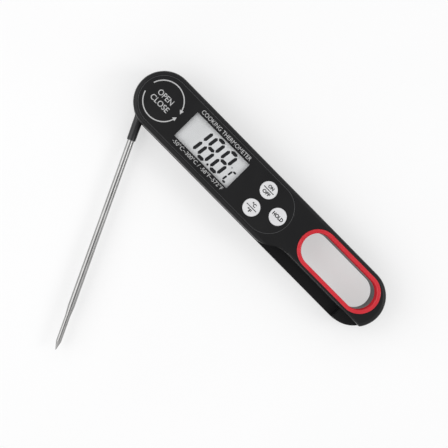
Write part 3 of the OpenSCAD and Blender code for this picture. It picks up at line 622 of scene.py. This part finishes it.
# ---- Circuit board ----
# A green glass-fibre board behind the display and the keys, with one resin-covered chip, small soldered
# parts and three steel switches. Four screws hold it to posts of the front shell.
board_green, tree, shader, place = new_material("board", Roughness=0.3, Coat_Weight=0.3)
grid = add(tree, "TexBrick", {"Vector": place, "Scale": 300.0, "Mortar Size": 0.03,
                              "Color1": (0.02, 0.16, 0.06, 1), "Color2": (0.02, 0.19, 0.07, 1),
                              "Mortar": (0.06, 0.3, 0.13, 1)})
tree.links.new(grid.outputs["Color"], shader.inputs["Base Color"])
tracks = add(tree, "Bump", {"Height": grid.outputs["Fac"], "Distance": 0.03 * MM})
tree.links.new(tracks.outputs["Normal"], shader.inputs["Normal"])
dress(board_green, "circuit_board")
chip_resin = moulded("chip_resin", (0.012, 0.012, 0.013), (0.02, 0.02, 0.021), (0.3, 0.45), 0.6, 0.02, 3.0)
small_parts = moulded("small_parts", (0.4, 0.3, 0.18), (0.55, 0.43, 0.28), (0.35, 0.5), 0.3, 0.01, 1.2)
dress(chip_resin, "board_chip")
dress(small_parts, "board_parts")


def metal(name, dark, light, rough, pitch, along=1.0, depth=0.004, turn=0.0):
    """Bare metal: two close shades, and working marks drawn out along the piece by the given share."""
    material, tree, shader, place = new_material(name, Metallic=1.0)
    lie = add(tree, "Mapping", {"Vector": place, "Rotation": (0, 0, turn)}).outputs["Vector"]
    drawn = add(tree, "Mapping", {"Vector": lie, "Scale": (along, 1, 1)}).outputs["Vector"]
    marks = noise(tree, drawn, 1 / (pitch * MM), 3, 0.6)
    smears = use(tree, handling, {"Place": place, "Patch": 11.0})["Mask"]
    tree.links.new(ramp(tree, smears, [(0.0, dark), (1.0, light)]), shader.inputs["Base Color"])
    both = add(tree, "Math", {0: marks, 1: smears}, operation="MULTIPLY").outputs[0]
    tree.links.new(spread(tree, both, *rough), shader.inputs["Roughness"])
    scored = add(tree, "Bump", {"Height": marks, "Distance": depth * MM, "Strength": 0.7})
    tree.links.new(scored.outputs["Normal"], shader.inputs["Normal"])
    return material


dress(metal("switch_steel", (0.68, 0.68, 0.7), (0.75, 0.75, 0.77), (0.25, 0.4), 0.3), "button_switches")

# ---- Battery compartment ----
# One AAA cell between a coned spring and a contact plate, under a gasketed door in the back. The door hooks
# in at one end, and a quarter-turn lock with a coin slot holds the other.
cell_low, cell_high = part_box("battery_cell")
jacket, tree, shader, place = new_material("cell_jacket", Coat_Weight=0.5)
reach_along = add(tree, "SeparateXYZ", {"Vector": place}).outputs["X"]
along_cell = add(tree, "MapRange", {"Value": reach_along, "From Min": cell_low.x, "From Max": cell_high.x})
share = along_cell.outputs["Result"]
printed = ramp(tree, share, [(0.0, (0.6, 0.6, 0.6)), (0.02, (0.015, 0.015, 0.017)),
                             (0.66, (0.62, 0.3, 0.08)), (0.955, (0.65, 0.65, 0.65))], "CONSTANT")
scuffs = use(tree, handling, {"Place": place, "Patch": 5.0})["Mask"]
rubbed = add(tree, "Mix", {0: spread(tree, scuffs, 0.0, 0.12), 6: printed, 7: (0.5, 0.5, 0.5, 1)},
             data_type="RGBA")
tree.links.new(rubbed.outputs[2], shader.inputs["Base Color"])
bare = ramp(tree, share, [(0.0, (1, 1, 1)), (0.02, (0.35, 0.35, 0.35)), (0.955, (1, 1, 1))], "CONSTANT")
tree.links.new(bare, shader.inputs["Metallic"])
tree.links.new(spread(tree, scuffs, 0.2, 0.34), shader.inputs["Roughness"])
dress(jacket, "battery_cell")
plated_spring = metal("plated_spring", (0.7, 0.7, 0.69), (0.8, 0.8, 0.79), (0.15, 0.3), 0.2)
red_silicone = moulded("red_silicone", (0.3, 0.05, 0.035), (0.36, 0.06, 0.045), (0.5, 0.65), 0.2, 0.01, 6.0)
lock_plastic = moulded("lock_plastic", (0.035, 0.035, 0.037), (0.05, 0.05, 0.052), (0.36, 0.5),
                       0.3, 0.012, 6.0, 0.02)
dress(plated_spring, "battery_spring", "battery_plate")
dress(red_silicone, "door_gasket")
dress(lock_plastic, "door_lock")

# A printed arrow beside the lock shows which way the coin turns to open it. Its ink is keyed into the door
# and stands out by most of its thickness.
LOCK_R = 3.6 * MM
INK_PROUD = 0.7 * INK
lock_low, lock_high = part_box("door_lock")
lock_centre = (lock_high.x - LOCK_R, (lock_low.y + lock_high.y) / 2, -INK_PROUD)
finish_print(turning_arrow("print_lock_arrow", lock_centre, LOCK_R + 1.6 * MM, math.radians(-60),
                            math.radians(110)))

# ---- Magnet and screws ----
# A nickel-plated disc magnet is glued into a pocket of the back, just under its face. Zinc-plated pan
# screws hold the case, the hinge cover and the board.
magnet_nickel = metal("magnet_nickel", (0.6, 0.6, 0.6), (0.72, 0.72, 0.71), (0.12, 0.32), 0.4)
screw_steel = metal("screw_steel", (0.5, 0.5, 0.52), (0.66, 0.66, 0.68), (0.22, 0.42), 0.25)
dress(magnet_nickel, "rear_magnet")
dress(screw_steel, "case_screws", "hinge_screws", "board_screws")

# ---- Probe ----
# A stainless tube with a slim ground point, pressed into a black sleeve on the hinge's hub. A bead in the
# point senses the heat, on two covered leads that run to the board. It folds into the handle's side channel.
fold = next(joint for joint in frame["joints"] if joint["name"] == "probe_fold")
# The working marks run along the tube, which stands open by this much from along the handle
opened = math.radians(-fold["range_deg"][0])
hub_plastic = moulded("hub_plastic", (0.011, 0.011, 0.012), (0.016, 0.016, 0.017), (0.46, 0.36),
                      0.3, 0.01, 10.0, 0.015)
dress(hub_plastic, "probe_hub", "probe_sleeve")
probe_steel = metal("probe_steel", (0.34, 0.337, 0.332), (0.4, 0.397, 0.392), (0.26, 0.36),
                    0.5, 0.02, 0.0004, opened)
dress(probe_steel, "probe_tube", "probe_point")
sensor_bead = moulded("sensor_bead", (0.03, 0.03, 0.032), (0.05, 0.05, 0.052), (0.25, 0.4), 0.3, 0.01, 1.0)
black_rubber = moulded("black_rubber", (0.012, 0.012, 0.012), (0.02, 0.02, 0.02), (0.3, 0.5),
                       0.2, 0.006, 2.0)
spring_steel = metal("spring_steel", (0.5, 0.5, 0.5), (0.6, 0.6, 0.61), (0.2, 0.35), 0.2)
wire_cover = moulded("wire_cover", (0.5, 0.02, 0.02), (0.58, 0.03, 0.03), (0.35, 0.5), 0.15, 0.004, 3.0)
dress(wire_cover, "sensor_tail", "sensor_leads")
dress(sensor_bead, "thermistor")
dress(black_rubber, "hinge_o_rings")
dress(spring_steel, "hinge_washer", "hinge_clip")
